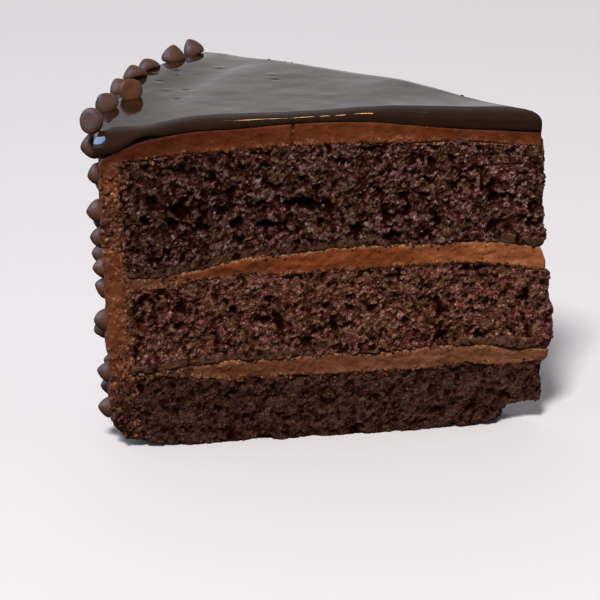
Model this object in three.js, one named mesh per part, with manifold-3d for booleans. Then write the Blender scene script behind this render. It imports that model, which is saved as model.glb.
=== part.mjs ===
// A slice of chocolate layer cake: one eighth of a round cake, stood on its sponge.
// Three sponges with two fillings, a cream coat over the top and the outer side, a poured
// glaze, and chocolate chips along the rim and down the side.
// Millimetres, +Z up. The tip points to +X, the rim to -X, and the near cut face to -Y.

import * as THREE from 'three';
import { mergeVertices } from 'three/addons/utils/BufferGeometryUtils.js';
import { ImprovedNoise } from 'three/addons/math/ImprovedNoise.js';
import Module from 'manifold-3d';

const wasm = await Module();
wasm.setup();

// ---- Driving dimensions ----

const cakeRadius = 115; // cake centre to the outside of the cream coat
const sliceAngle = THREE.MathUtils.degToRad(45);
const halfAngle = sliceAngle / 2;
const cakeCentre = new THREE.Vector3(58.8, 0.25, 0); // where the two cuts would meet
const tipRadius = 1.3; // rounding of the crumbly tip
const coatThickness = 4.8; // cream on the outer side
const gap = 0.3; // between touching pieces
const spongeRadius = cakeRadius - coatThickness - gap;
const glazeOverhang = 1.1; // glaze beyond the coat
const coatFoot = 2.6; // lowest edge of the coat
const cutPast = 6; // how far a cutting solid reaches past the slice's own faces

// Heights along a cut, at even steps from the cake's centre to its rim
const heights = {
  base: [1.5, 1.3, 0.8, 0.3, 0, 0, 0, 0, 0, 1.2, 3.4],
  fillingLowerBottom: [17.2, 16.6, 17.6, 17.1, 16.9, 17.1, 17.2, 17.3, 18.2, 18.8, 18.6],
  fillingLowerTop: [20.8, 22.0, 22.9, 22.4, 22.2, 22.7, 22.5, 22.5, 22.0, 20.7, 20.2],
  fillingUpperBottom: [42.2, 43.7, 45.1, 45.0, 45.0, 45.1, 44.8, 45.2, 44.2, 42.7, 42.0],
  fillingUpperTop: [47.8, 50.4, 50.9, 50.8, 51.0, 50.9, 50.1, 49.7, 47.4, 46.1, 46.4],
  spongeTop: [75.2, 76.6, 77.9, 78.2, 78.7, 79.0, 78.9, 78.6, 78.4, 77.6, 76.8],
  coatTop: [78.8, 79.8, 80.9, 82.4, 83.9, 84.5, 84.4, 83.9, 83.7, 81.9, 78.6],
  glazeTop: [84.3, 85.3, 86.0, 86.7, 87.1, 86.8, 86.7, 86.9, 86.7, 85.2, 85.0],
};
const farSag = 2.4; // how much lower the far edge lies than the near one, towards the tip
const farSagReach = 70; // distance from the tip over which it fades
// How much higher cream and glaze have gathered along the rim, from the near cut to the far one
const rimRise = { heights: [0, 0.8, 1.5, 2.2, 2.2, 1.4], from: 92, full: 108 };
const waveLength = 11; // of the layers' uneven edges, along a cut
const waveDepth = 10; // how far inside the slice the edges' unevenness reaches

// How far the tip stands out at each height, from the foot to the top
const tipReach = { step: 7, values: [0, 1.4, 0.6, 3.0, 4.2, 2.2, 2.2, 0.1, 2.4, 0.1, 0.9, -0.2, 0.4] };
const tipReachLength = 14; // distance from the tip over which that fades

const cutSteps = 34; // wall columns along each cut
const tipSteps = 4;
const rimSteps = 16;

const colours = {
  sponge: 0x2a1510,
  filling: 0x6e4027,
  cream: 0x5b3526,
  glaze: 0x2b2220,
};

// ---- Numbers that vary from place to place ----

const noise = new ImprovedNoise();

// Smooth random value, about -0.8 to 0.8, that repeats itself every build
function unevenness(x, y, z, grain, seed) {
  return noise.noise(x / grain + seed * 7.31, y / grain + seed * 3.17, z / grain + seed * 5.53);
}

// Smooth value through a row of evenly spaced ones
function alongValues(values, position) {
  const curve = new THREE.SplineCurve(values.map((value, index) => new THREE.Vector2(index, value)));
  return curve.getPoint(THREE.MathUtils.clamp(position / (values.length - 1), 0, 1)).y;
}

// Random numbers from 0 to 1 that are the same every build
function randomSource(seed) {
  let state = seed;
  return () => {
    state = (state * 1664525 + 1013904223) % 2 ** 32;
    return state / 2 ** 32;
  };
}

// Waviness of a layer's edge along both cuts, which dies away inside the slice
function edgeWave(x, y, seed) {
  const distance = Math.hypot(x, y);
  const angle = Math.atan2(y, -x);
  return [-1, 1].reduce((sum, side) => {
    const inward = distance * Math.sin(halfAngle - side * angle);
    const nearness = THREE.MathUtils.clamp(1 - inward / waveDepth, 0, 1);
    return sum + nearness * unevenness(distance, 0, 0, waveLength, seed + side * 0.31);
  }, 0);
}

// Height surfaces over the plan, with the cake's centre at x = 0, y = 0
function heightSurface(values, { sag = 0, rise = 0, wave = 0, seed = 1 } = {}) {
  return (x, y) => {
    const distance = Math.hypot(x, y);
    const across = THREE.MathUtils.clamp((Math.atan2(y, -x) + halfAngle) / sliceAngle, 0, 1);
    const fade = Math.max(0, 1 - distance / farSagReach) ** 2;
    const steps = (distance / cakeRadius) * (values.length - 1);
    const gathered = THREE.MathUtils.smoothstep(distance, rimRise.from, rimRise.full)
      * alongValues(rimRise.heights, across * (rimRise.heights.length - 1));
    const level = alongValues(values, steps) - sag * fade * across + rise * gathered;
    return Math.max(0, level + wave * edgeWave(x, y, seed));
  };
}

function raised(surface, amount) {
  return (x, y) => surface(x, y) + amount;
}

const surfaces = {
  base: heightSurface(heights.base),
  fillingLowerBottom: heightSurface(heights.fillingLowerBottom, { seed: 2, wave: 0.7 }),
  fillingLowerTop: heightSurface(heights.fillingLowerTop, { seed: 3, wave: 0.8 }),
  fillingUpperBottom: heightSurface(heights.fillingUpperBottom, { seed: 4, wave: 0.7 }),
  fillingUpperTop: heightSurface(heights.fillingUpperTop, { seed: 5, wave: 0.8 }),
  spongeTop: heightSurface(heights.spongeTop, { seed: 6, wave: 0.8, sag: farSag }),
  coatTop: heightSurface(heights.coatTop, { seed: 7, wave: 0.7, sag: farSag, rise: 1 }),
  glazeTop: heightSurface(heights.glazeTop, { seed: 8, wave: 0.3, sag: farSag, rise: 1 }),
};

// ---- The slice's outline in plan ----

// Points anticlockwise from the near outer corner: near cut, tip, far cut, rim
function sliceOutline(radius) {
  const outline = [];
  const tangent = tipRadius / Math.tan(halfAngle);
  const tipCentre = new THREE.Vector2(-tipRadius / Math.sin(halfAngle), 0);
  const cutNormal = (side) => new THREE.Vector2(Math.sin(halfAngle), side * Math.cos(halfAngle));
  const addCutPoint = (distance, side) => {
    const angle = side * halfAngle;
    const point = new THREE.Vector2(-distance * Math.cos(angle), distance * Math.sin(angle));
    outline.push({ point, normal: cutNormal(side), place: 'cut' });
  };
  for (let i = 0; i < cutSteps; i += 1) {
    addCutPoint(THREE.MathUtils.lerp(radius, tangent, i / cutSteps), -1);
  }
  const turnRange = Math.PI / 2 - halfAngle;
  for (let i = 0; i < tipSteps; i += 1) {
    const turn = THREE.MathUtils.lerp(-turnRange, turnRange, i / tipSteps);
    const normal = new THREE.Vector2(Math.cos(turn), Math.sin(turn));
    outline.push({ point: normal.clone().multiplyScalar(tipRadius).add(tipCentre), normal, place: 'tip' });
  }
  for (let i = 0; i < cutSteps; i += 1) {
    addCutPoint(THREE.MathUtils.lerp(tangent, radius, i / cutSteps), 1);
  }
  for (let i = 0; i < rimSteps; i += 1) {
    const angle = THREE.MathUtils.lerp(halfAngle, -halfAngle, i / rimSteps);
    const normal = new THREE.Vector2(-Math.cos(angle), Math.sin(angle));
    outline.push({ point: normal.clone().multiplyScalar(radius), normal, place: 'rim' });
  }
  return outline;
}

// ---- Layers: closed solids between two height surfaces ----

const spongeRows = 8;
const bottomSpongeRows = 6;
const fillingRows = 2;

// Rows of a layer's wall: how far up each one lies, and how far out at a cut and at the rim
function wallRow(level, atCut = 0, atRim = 0) {
  return { level, cut: atCut, tip: atCut, rim: atRim };
}

function evenRows(count) {
  return Array.from({ length: count + 1 }, (_, row) => wallRow(row / count));
}

// The same rows moved out past both cuts, for a solid that cuts its neighbour
function rowsPastCuts(rows, past) {
  const moved = rows.map((row) => ({ ...row, cut: row.cut + past, tip: row.tip + past }));
  return [...moved, wallRow(1, 0, rows.at(-1).rim)];
}

// Unevenness of the pieces' faces: how high the bumps stand and how far apart they are
const crumb = { height: 0.95, coarse: 6.5, fine: 3.7, tornDepth: 4.2, tornGrain: 8, tornFrom: 0.2 };
const spread = { height: 0.5, grain: 7, inset: 0.3 };
const knifeMarks = { height: 0.9, grain: 13, flatter: 1.6, fineHeight: 0.5, fineGrain: 5 };
const coatCut = { height: 0.45, grain: 6, inset: 0.1 };
const pour = { rimHeight: 0.5, cutHeight: 0.25, grain: 9 };

// Outward shift of a sponge's cut face, where crumbs stand proud or have fallen away
function crumbRelief(seed) {
  return ({ x, y, z, place }) => {
    if (place === 'rim') return 0;
    const bumps = unevenness(x, y, z, crumb.coarse, seed) + unevenness(x, y, z, crumb.fine, seed + 1);
    const torn = Math.max(0, unevenness(x, y, z, crumb.tornGrain, seed + 2) - crumb.tornFrom);
    return crumb.height * bumps - crumb.tornDepth * torn;
  };
}

// Outward shift of a filling's edge, which the knife has drawn a little inwards
function spreadRelief(seed) {
  return ({ x, y, z, place }) => {
    if (place === 'rim') return 0;
    return spread.height * unevenness(x, y, z, spread.grain, seed) - spread.inset;
  };
}

function tipShift(distance, z) {
  const fade = Math.max(0, 1 - distance / tipReachLength) ** 2;
  return fade * alongValues(tipReach.values, z / tipReach.step);
}

// Rings of a layer's top and bottom, as a share of the way in to the middle of the slice, each
// with half the points of the ring around it
const capRings = [0.07, 0.22, 0.55];
const capCentre = 0.62; // share of the cake's radius from its centre to the middle of the slice

function addCap(positions, triangles, outerRing, surface, centre, facesUp) {
  const addTriangle = (a, b, c) => triangles.push(...(facesUp ? [a, b, c] : [a, c, b]));
  const addPoint = (x, y) => positions.push(x, y, surface(x, y)) / 3 - 1;
  let ring = outerRing;
  capRings.forEach((inward) => {
    const stride = outerRing.length / (ring.length / 2);
    const inner = [];
    for (let i = 0; i < ring.length / 2; i += 1) {
      const source = outerRing[Math.round(i * stride)] * 3;
      inner.push(addPoint(
        THREE.MathUtils.lerp(positions[source], centre.x, inward),
        THREE.MathUtils.lerp(positions[source + 1], centre.y, inward),
      ));
    }
    inner.forEach((point, i) => {
      const nextPoint = inner[(i + 1) % inner.length];
      const [start, middle, end] = [0, 1, 2].map((step) => ring[(2 * i + step) % ring.length]);
      addTriangle(start, middle, point);
      addTriangle(middle, nextPoint, point);
      addTriangle(middle, end, nextPoint);
    });
    ring = inner;
  });
  const centrePoint = addPoint(centre.x, centre.y);
  ring.forEach((point, i) => addTriangle(point, ring[(i + 1) % ring.length], centrePoint));
}

function layerGeometry({ outline, bottom, top, rows, relief }) {
  const positions = [];
  const triangles = [];
  rows.forEach((row) => {
    outline.forEach(({ point, normal, place }) => {
      const { level } = row;
      const height = THREE.MathUtils.lerp(bottom(point.x, point.y), top(point.x, point.y), level);
      const shift = relief({ x: point.x, y: point.y, z: height, place }) + row[place];
      const x = point.x + normal.x * shift + tipShift(Math.hypot(point.x, point.y), height);
      const y = point.y + normal.y * shift;
      positions.push(x, y, THREE.MathUtils.lerp(bottom(x, y), top(x, y), level));
    });
  });
  const columns = outline.length;
  for (let row = 0; row < rows.length - 1; row += 1) {
    for (let column = 0; column < columns; column += 1) {
      const next = (column + 1) % columns;
      const [a, b] = [row * columns + column, row * columns + next];
      triangles.push(a, b, b + columns, a, b + columns, a + columns);
    }
  }
  const centre = new THREE.Vector2(-capCentre * cakeRadius, 0);
  const ringAt = (row) => outline.map((_, column) => row * columns + column);
  addCap(positions, triangles, ringAt(0), bottom, centre, false);
  addCap(positions, triangles, ringAt(rows.length - 1), top, centre, true);
  const geometry = new THREE.BufferGeometry();
  geometry.setAttribute('position', new THREE.Float32BufferAttribute(positions, 3));
  geometry.setIndex(triangles);
  return geometry;
}

// ---- Joining and cutting ----

function toSolid(geometry) {
  const bare = geometry.clone();
  bare.deleteAttribute('normal');
  bare.deleteAttribute('uv');
  const merged = mergeVertices(bare, 1e-4);
  return new wasm.Manifold(new wasm.Mesh({
    numProp: 3,
    vertProperties: new Float32Array(merged.attributes.position.array),
    triVerts: new Uint32Array(merged.index.array),
  }));
}

// The largest body of a solid, without the loose scraps that a cut leaves
function toGeometry(solid) {
  const bodies = solid.decompose().sort((a, b) => b.volume() - a.volume());
  const mesh = bodies[0].getMesh();
  const geometry = new THREE.BufferGeometry();
  geometry.setAttribute('position', new THREE.Float32BufferAttribute(mesh.vertProperties, 3));
  geometry.setIndex(Array.from(mesh.triVerts));
  return geometry;
}

// ---- Sponges and fillings ----

const spongeOutline = sliceOutline(spongeRadius);

function spongeGeometry(bottom, top, seed, rowCount = spongeRows) {
  return layerGeometry({
    outline: spongeOutline,
    bottom,
    top: raised(top, -gap),
    rows: evenRows(rowCount),
    relief: crumbRelief(seed),
  });
}

function fillingGeometry(bottom, top, seed) {
  return layerGeometry({
    outline: spongeOutline,
    bottom,
    top: raised(top, -gap),
    rows: evenRows(fillingRows),
    relief: spreadRelief(seed),
  });
}

// Where the lower corner of the tip has broken away: blocks with rounded edges
const brokenBits = [
  { centre: [0, 0, -1], size: [13.2, 13, 7.1], seed: 40 },
  { centre: [2, 0, 5.5], size: [4.6, 8, 5.4], seed: 41 },
];
const brokenFace = { roughness: 0.7, grain: 3, squareness: 5, splits: 4 };

function brokenBitGeometry({ centre, size, seed }) {
  const ball = new THREE.IcosahedronGeometry(1, brokenFace.splits);
  ball.deleteAttribute('normal');
  ball.deleteAttribute('uv');
  const geometry = mergeVertices(ball);
  const half = new THREE.Vector3(...size);
  const point = new THREE.Vector3();
  const vertices = geometry.attributes.position;
  for (let i = 0; i < vertices.count; i += 1) {
    point.fromBufferAttribute(vertices, i);
    const power = brokenFace.squareness;
    const sum = point.toArray().reduce((total, value) => total + Math.abs(value) ** power, 0);
    point.multiplyScalar(sum ** (-1 / power)).multiply(half);
    const bump = unevenness(point.x, point.y, point.z, brokenFace.grain, seed);
    point.addScaledVector(point.clone().normalize(), brokenFace.roughness * bump);
    vertices.setXYZ(i, point.x, point.y, point.z);
  }
  return geometry.translate(...centre);
}

function bottomSpongeGeometry() {
  let sponge = toSolid(
    spongeGeometry(surfaces.base, surfaces.fillingLowerBottom, 10, bottomSpongeRows),
  );
  brokenBits.forEach((bit) => {
    sponge = sponge.subtract(toSolid(brokenBitGeometry(bit)));
  });
  return toGeometry(sponge);
}

// ---- Chocolate chips ----

const chip = { radius: 3.15, height: 4.3, sides: 6 };

// A drop with a rounded base and a blunt point, its base on z = 0
function chipGeometry() {
  const outline = [
    new THREE.Vector2(0, 0),
    new THREE.Vector2(chip.radius * 0.9, 0),
    new THREE.Vector2(chip.radius, chip.height * 0.2),
    new THREE.Vector2(chip.radius * 0.62, chip.height * 0.66),
    new THREE.Vector2(0, chip.height),
  ];
  return new THREE.LatheGeometry(outline, chip.sides).rotateX(Math.PI / 2);
}

// Places a chip at a point, with its own axis turned to point along a direction
function placedChip(point, direction, wide, tall = wide) {
  const upright = new THREE.Vector3(0, 0, 1);
  const turn = new THREE.Quaternion().setFromUnitVectors(upright, direction.clone().normalize());
  const size = new THREE.Vector3(wide, wide, tall);
  return chipGeometry().applyMatrix4(new THREE.Matrix4().compose(point, turn, size));
}

function rimPoint(angle, radius, z) {
  return new THREE.Vector3(-radius * Math.cos(angle), radius * Math.sin(angle), z);
}

// Chips on the rim of the glaze: angle from the near cut in degrees, the base's distance from
// the cake's centre and its height, and which way the point aims: out, along the rim, and up
const rimChips = [
  { angle: 1.4, radius: 116.9, height: 87.2, aim: [-0.67, 0.71, -0.21], wide: 1.08, tall: 1.08 },
  { angle: 5, radius: 115.2, height: 78.9, aim: [0.93, 0.32, -0.19], wide: 1.06, tall: 1.06 },
  { angle: 11.2, radius: 113, height: 85.8, aim: [0.41, -0.44, 0.8], wide: 1.03, tall: 1.03 },
  { angle: 13.5, radius: 115.3, height: 81.4, aim: [1, 0.2, 0.3] },
  { angle: 20.4, radius: 113.4, height: 85, aim: [0.55, 0.13, 0.83] },
  { angle: 14.7, radius: 108, height: 88.4, aim: [0.49, 0.86, -0.13] },
  { angle: 25.2, radius: 113, height: 86.1, aim: [0.45, 0.44, 0.78], wide: 1.05, tall: 1.05 },
  { angle: 30, radius: 113, height: 85.9, aim: [0.61, 0.33, 0.72], wide: 1.05, tall: 1.05 },
  { angle: 36, radius: 112.6, height: 86.7, aim: [-0.01, 0.07, 1], wide: 1.03, tall: 1.03 },
  { angle: 41.4, radius: 112.4, height: 86, aim: [0.45, -0.1, 0.89], wide: 0.9, tall: 1.17 },
];

// A direction given as out from the cake's centre, along the rim, and up
function aimAt(turn, [out, along, up]) {
  const outward = rimPoint(turn, out, up);
  const sideways = rimPoint(turn + Math.PI / 2, along, 0);
  return outward.add(sideways);
}

function rimChipSolids() {
  return rimChips.map(({ angle, radius, height, aim, wide = 1, tall = 1 }) => {
    const turn = THREE.MathUtils.degToRad(angle) - halfAngle;
    return toSolid(placedChip(rimPoint(turn, radius, height), aimAt(turn, aim), wide, tall));
  });
}

// Chips down the side: the ones beside the near cut by hand, as angle from the near cut
// in degrees and height, and the rest at random, no closer together than their spacing
const edgeChips = [
  [1.9, 73.2], [3.4, 62.6], [2.2, 56.2], [4.1, 47.0], [5.6, 40.4],
  [2.4, 34.0], [7.2, 29.2], [2.6, 19.6], [6.2, 13.6], [3.1, 9.6],
];
const sideChips = { seed: 71, tries: 900, count: 46, spacing: 9.5, lowest: 8, highest: 73, margin: 0.03 };

function sideChipPlaces() {
  const places = edgeChips.map(([angle, height]) => [THREE.MathUtils.degToRad(angle), height]);
  const random = randomSource(sideChips.seed);
  for (let i = 0; i < sideChips.tries && places.length < sideChips.count; i += 1) {
    const angle = THREE.MathUtils.lerp(sideChips.margin, sliceAngle - sideChips.margin, random());
    const height = THREE.MathUtils.lerp(sideChips.lowest, sideChips.highest, random());
    const isClear = places.every(([otherAngle, otherHeight]) => (
      Math.hypot((angle - otherAngle) * cakeRadius, height - otherHeight) > sideChips.spacing
    ));
    if (isClear) places.push([angle, height]);
  }
  return places;
}

function sideChipSolids() {
  const random = randomSource(sideChips.seed + 1);
  return sideChipPlaces().map(([angle, height]) => {
    const turn = angle - halfAngle;
    const sunk = THREE.MathUtils.lerp(0.4, 1.3, random());
    const point = rimPoint(turn, cakeRadius + sideRelief({ angle: turn, z: height }) - sunk, height);
    const aim = [1, THREE.MathUtils.lerp(-0.5, 0.5, random()), THREE.MathUtils.lerp(-0.4, 0.5, random())];
    return toSolid(placedChip(point, aimAt(turn, aim), THREE.MathUtils.lerp(0.85, 1.05, random())));
  });
}

// ---- Cream coat ----

// Outward shift of the coat's side, left by the spreading knife
function sideRelief({ angle, z }) {
  const [x, y] = [-cakeRadius * Math.cos(angle), cakeRadius * Math.sin(angle)];
  const broad = unevenness(x, y, z * knifeMarks.flatter, knifeMarks.grain, 20);
  const fine = unevenness(x, y, z, knifeMarks.fineGrain, 21);
  return knifeMarks.height * broad + knifeMarks.fineHeight * fine;
}

function coatRelief({ x, y, z, place }) {
  if (place === 'rim') return sideRelief({ angle: Math.atan2(y, -x), z });
  return coatCut.height * unevenness(x, y, z, coatCut.grain, 22) - coatCut.inset;
}

const coatRows = [
  wallRow(0, -0.8, -4),
  wallRow(0.03, -0.3, -2),
  wallRow(0.08, 0, -0.6),
  ...evenRows(11).slice(2),
];

function coatSolid({ grow = 0, rows = coatRows } = {}) {
  return toSolid(layerGeometry({
    outline: sliceOutline(cakeRadius + grow),
    bottom: () => coatFoot,
    top: raised(surfaces.coatTop, grow - gap),
    rows,
    relief: coatRelief,
  }));
}

// The room that the sponges and fillings take up, open at both cuts and below
function spongeRoom() {
  return toSolid(layerGeometry({
    outline: sliceOutline(cakeRadius - coatThickness),
    bottom: () => -cutPast,
    top: surfaces.spongeTop,
    rows: rowsPastCuts(evenRows(1), cutPast),
    relief: () => 0,
  }));
}

function coatGeometry() {
  let coat = coatSolid().subtract(spongeRoom());
  sideChipSolids().forEach((solid) => {
    coat = coat.add(solid);
  });
  return toGeometry(coat);
}

// ---- Glaze ----

const glazeLip = { height: 78.4, wave: 2.2, waveLength: 17 };

function glazeLipHeight(x, y) {
  return glazeLip.height + glazeLip.wave * unevenness(x, y, 0, glazeLip.waveLength, 30);
}

function glazeRelief({ x, y, z, place }) {
  const height = place === 'rim' ? pour.rimHeight : pour.cutHeight;
  return height * unevenness(x, y, z, pour.grain, 31);
}

// The edge has slumped to a round, more at the rim than along the cuts
const glazeRows = [
  wallRow(0, -0.35, -0.5),
  wallRow(0.4),
  wallRow(0.78, -0.35, -0.6),
  wallRow(0.94, -1, -2),
  wallRow(1, -2.1, -4.2),
];

function glazeGeometry() {
  let glaze = toSolid(layerGeometry({
    outline: sliceOutline(cakeRadius + glazeOverhang),
    bottom: glazeLipHeight,
    top: surfaces.glazeTop,
    rows: glazeRows,
    relief: glazeRelief,
  }));
  rimChipSolids().forEach((solid) => {
    glaze = glaze.add(solid);
  });
  const coatRoom = coatSolid({ grow: gap, rows: rowsPastCuts(coatRows, cutPast) });
  return toGeometry(glaze.subtract(coatRoom));
}

// ---- The slice ----

function addPart(group, name, geometry, colour, roughness) {
  const material = new THREE.MeshStandardMaterial({ color: colour, roughness, metalness: 0 });
  const mesh = new THREE.Mesh(geometry, material);
  mesh.name = name;
  group.add(mesh);
}

const slice = new THREE.Group();
slice.position.copy(cakeCentre);

const spongeRoughness = 0.95;
const creamRoughness = 0.6;
const glazeRoughness = 0.12;

addPart(slice, 'sponge_bottom', bottomSpongeGeometry(), colours.sponge, spongeRoughness);
addPart(
  slice,
  'filling_lower',
  fillingGeometry(surfaces.fillingLowerBottom, surfaces.fillingLowerTop, 12),
  colours.filling,
  creamRoughness,
);
addPart(
  slice,
  'sponge_middle',
  spongeGeometry(surfaces.fillingLowerTop, surfaces.fillingUpperBottom, 14),
  colours.sponge,
  spongeRoughness,
);
addPart(
  slice,
  'filling_upper',
  fillingGeometry(surfaces.fillingUpperBottom, surfaces.fillingUpperTop, 16),
  colours.filling,
  creamRoughness,
);
addPart(
  slice,
  'sponge_top',
  spongeGeometry(surfaces.fillingUpperTop, surfaces.spongeTop, 18),
  colours.sponge,
  spongeRoughness,
);
addPart(slice, 'cream_coat', coatGeometry(), colours.cream, creamRoughness);
addPart(slice, 'glaze', glazeGeometry(), colours.glaze, glazeRoughness);

export default slice;
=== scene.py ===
import bpy
import bmesh
import math
import random
from mathutils import Matrix, Vector, noise


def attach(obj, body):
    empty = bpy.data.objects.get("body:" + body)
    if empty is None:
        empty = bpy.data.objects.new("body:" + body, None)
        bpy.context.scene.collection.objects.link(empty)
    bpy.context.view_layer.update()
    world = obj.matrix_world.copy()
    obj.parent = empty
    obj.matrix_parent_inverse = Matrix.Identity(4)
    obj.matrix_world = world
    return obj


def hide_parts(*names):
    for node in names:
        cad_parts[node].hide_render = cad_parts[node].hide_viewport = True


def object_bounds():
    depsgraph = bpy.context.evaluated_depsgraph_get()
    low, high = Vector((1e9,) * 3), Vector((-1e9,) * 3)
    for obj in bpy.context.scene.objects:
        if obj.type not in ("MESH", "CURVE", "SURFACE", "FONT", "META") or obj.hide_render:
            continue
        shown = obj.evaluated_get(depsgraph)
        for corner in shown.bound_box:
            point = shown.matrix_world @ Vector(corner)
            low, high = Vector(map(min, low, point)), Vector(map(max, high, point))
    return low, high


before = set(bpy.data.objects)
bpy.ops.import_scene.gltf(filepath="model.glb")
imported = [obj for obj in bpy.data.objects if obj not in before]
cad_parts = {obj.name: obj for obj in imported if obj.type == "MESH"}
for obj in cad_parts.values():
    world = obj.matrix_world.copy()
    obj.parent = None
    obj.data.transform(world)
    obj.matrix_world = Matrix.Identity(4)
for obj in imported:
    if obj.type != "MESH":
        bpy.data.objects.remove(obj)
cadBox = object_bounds()

mm = 0.001  # the slice is laid out in millimetres and made in metres


# The slice: heights in mm along a cut, at even steps from the cake's centre to its rim
cake = {
    "radius": 115.0,  # cake's centre to the outside of the cream
    "spongeRadius": 109.9,  # and to the outside of the crumb
    "cutAngle": math.radians(45.0),  # between the two cuts
    "centre": (58.8, 0.25),  # where the two cuts would meet
    "tipRounding": 1.3,
    "farSag": 2.4,  # how much lower the far edge lies towards the tip
    "farSagReach": 70.0,
    # how far the tip stands back, and how far along the slice that fades
    "tipReach": (0, 1.4, 0.6, 3.0, 4.2, 2.2, 2.2, 0.1, 2.4, 0.1, 0.9, -0.2, 0.4), "tipReachStep": 7,
    "tipReachLength": 14.0, "tipZone": 20,  # mm from the centre where an outline may be the rounded tip's
    # how much higher cream and glaze have gathered along the rim, from the near cut to the far one
    "rimRise": (0, 0.8, 1.5, 2.2, 2.2, 1.4), "riseFrom": 92.0, "riseFull": 108.0,
    "spongeTop": (75.2, 76.6, 77.9, 78.2, 78.7, 79.0, 78.9, 78.6, 78.4, 77.6, 76.8),
    "creamTop": (78.8, 79.8, 80.9, 82.4, 83.9, 84.5, 84.4, 83.9, 83.7, 81.9, 78.6),
    "glazeTop": (84.3, 85.3, 86.0, 86.7, 87.1, 86.8, 86.7, 86.9, 86.7, 85.2, 85.0),
    "upperFillingBottom": (42.2, 43.7, 45.1, 45.0, 45.0, 45.1, 44.8, 45.2, 44.2, 42.7, 42.0),
    "lowerFillingBottom": (17.2, 16.6, 17.6, 17.1, 16.9, 17.1, 17.2, 17.3, 18.2, 18.8, 18.6),
    "upperFillingTop": (47.8, 50.4, 50.9, 50.8, 51.0, 50.9, 50.1, 49.7, 47.4, 46.1, 46.4),
    "lowerFillingTop": (20.8, 22.0, 22.9, 22.4, 22.2, 22.7, 22.5, 22.5, 22.0, 20.7, 20.2),
}
halfCut = cake["cutAngle"] / 2


def mix(a, b, share):
    return a + (b - a) * share


def ease(low, high, value):  # 0 at low, 1 at high, smooth between
    share = min(1.0, max(0.0, (value - low) / (high - low)))
    return share * share * (3 - 2 * share)


def along(values, share):  # smooth value through evenly spaced ones
    position = min(1.0, max(0.0, share)) * (len(values) - 1)
    index = min(int(position), len(values) - 2)
    step = position - index
    before, start, end = values[max(index - 1, 0)], values[index], values[index + 1]
    after = values[min(index + 2, len(values) - 1)]
    leave, arrive = (end - before) / 2, (after - start) / 2
    return ((2 * start - 2 * end + leave + arrive) * step ** 3
            + (3 * end - 3 * start - 2 * leave - arrive) * step ** 2 + leave * step + start)


def wobble(x, y, z, grain, seed=0):  # smooth unevenness, about -1 to 1
    return noise.noise(Vector((x, y, z)) / grain + Vector((7.3, 3.1, 5.5)) * seed)


def layerHeight(layer, distance, turn):
    level = along(cake[layer], distance / cake["radius"])
    across = min(1.0, max(0.0, (turn + halfCut) / cake["cutAngle"]))
    if layer in ("spongeTop", "creamTop", "glazeTop"):
        level -= cake["farSag"] * across * max(0.0, 1 - distance / cake["farSagReach"]) ** 2
    if layer in ("creamTop", "glazeTop"):
        level += ease(cake["riseFrom"], cake["riseFull"], distance) * along(cake["rimRise"], across)
    return level


def upRow(values, height, step=10):  # smooth value of a row given every 10 mm up
    return along(values, height / step / (len(values) - 1))


def tipShift(distance, height):
    fade = max(0.0, 1 - distance / cake["tipReachLength"]) ** 2
    return fade * upRow(cake["tipReach"], height, cake["tipReachStep"])


def onPlan(distance, turn):  # mm from the cake's centre, as seen from above
    return -distance * math.cos(turn), distance * math.sin(turn)


def onCake(distance, turn, height):  # mm round the cake's centre to the frame's metres
    x, y = onPlan(distance, turn)
    return Vector((cake["centre"][0] + x, cake["centre"][1] + y, height)) * mm


def wayOnCake(out, turn, up):  # a direction, out from the cake's centre and up
    return onCake(out, turn, up) - onCake(0, 0, 0)


def aroundCake(point):  # the frame's metres back to distance, turn and height
    x, y = point.x / mm - cake["centre"][0], point.y / mm - cake["centre"][1]
    return math.hypot(x, y), math.atan2(y, -x), point.z / mm


def insideBox(point):
    return Vector(min(max(value, low), high) for value, low, high in zip(point, *cadBox))


def cutOutward(turn):  # level direction out of the cut on this side: near below 0, far above it
    return Vector((math.sin(halfCut), math.cos(halfCut) * (1 if turn > 0 else -1), 0))


# Finishing and node helpers
def vertexValues(bm, *names):
    return [bm.verts.layers.float.new(name) for name in names]


def finishPiece(name, bm, material, replaced, smooth=True):
    mesh = bpy.data.meshes.new(name)
    bm.to_mesh(mesh)
    bm.free()
    for face in mesh.polygons:
        face.use_smooth = smooth
    piece = bpy.data.objects.new(name, mesh)
    bpy.context.scene.collection.objects.link(piece)
    mesh.materials.append(material)
    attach(piece, "root")
    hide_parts(*replaced)
    mesh.calc_loop_triangles()
    print(name, "made:", len(mesh.loop_triangles), "triangles")


def startMaterial(name, even=None):  # even: values that are the same all over the surface
    material = bpy.data.materials.new(name)
    material.use_nodes = True
    shader = material.node_tree.nodes["Principled BSDF"]
    for socket, value in (even or {}).items():
        shader.inputs[socket].default_value = value
    return material, material.node_tree, shader


def wireShader(tree, shader, colour, roughness, normal):
    for socket, value in (("Base Color", colour), ("Roughness", roughness), ("Normal", normal)):
        tree.links.new(value, shader.inputs[socket])


def addNode(tree, kind, inputs=None, **settings):
    node = tree.nodes.new(kind)
    for key, value in settings.items():
        setattr(node, key, value)
    for socket, value in (inputs or {}).items():
        if isinstance(value, bpy.types.NodeSocket):
            tree.links.new(value, node.inputs[socket])
        else:
            node.inputs[socket].default_value = value
    return node


def objectPlace(tree, stretch=(1, 1, 1)):
    coordinates = addNode(tree, "ShaderNodeTexCoord")
    mapping = addNode(tree, "ShaderNodeMapping", {"Vector": coordinates.outputs["Object"]})
    mapping.inputs["Scale"].default_value = stretch
    return mapping.outputs["Vector"]


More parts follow.
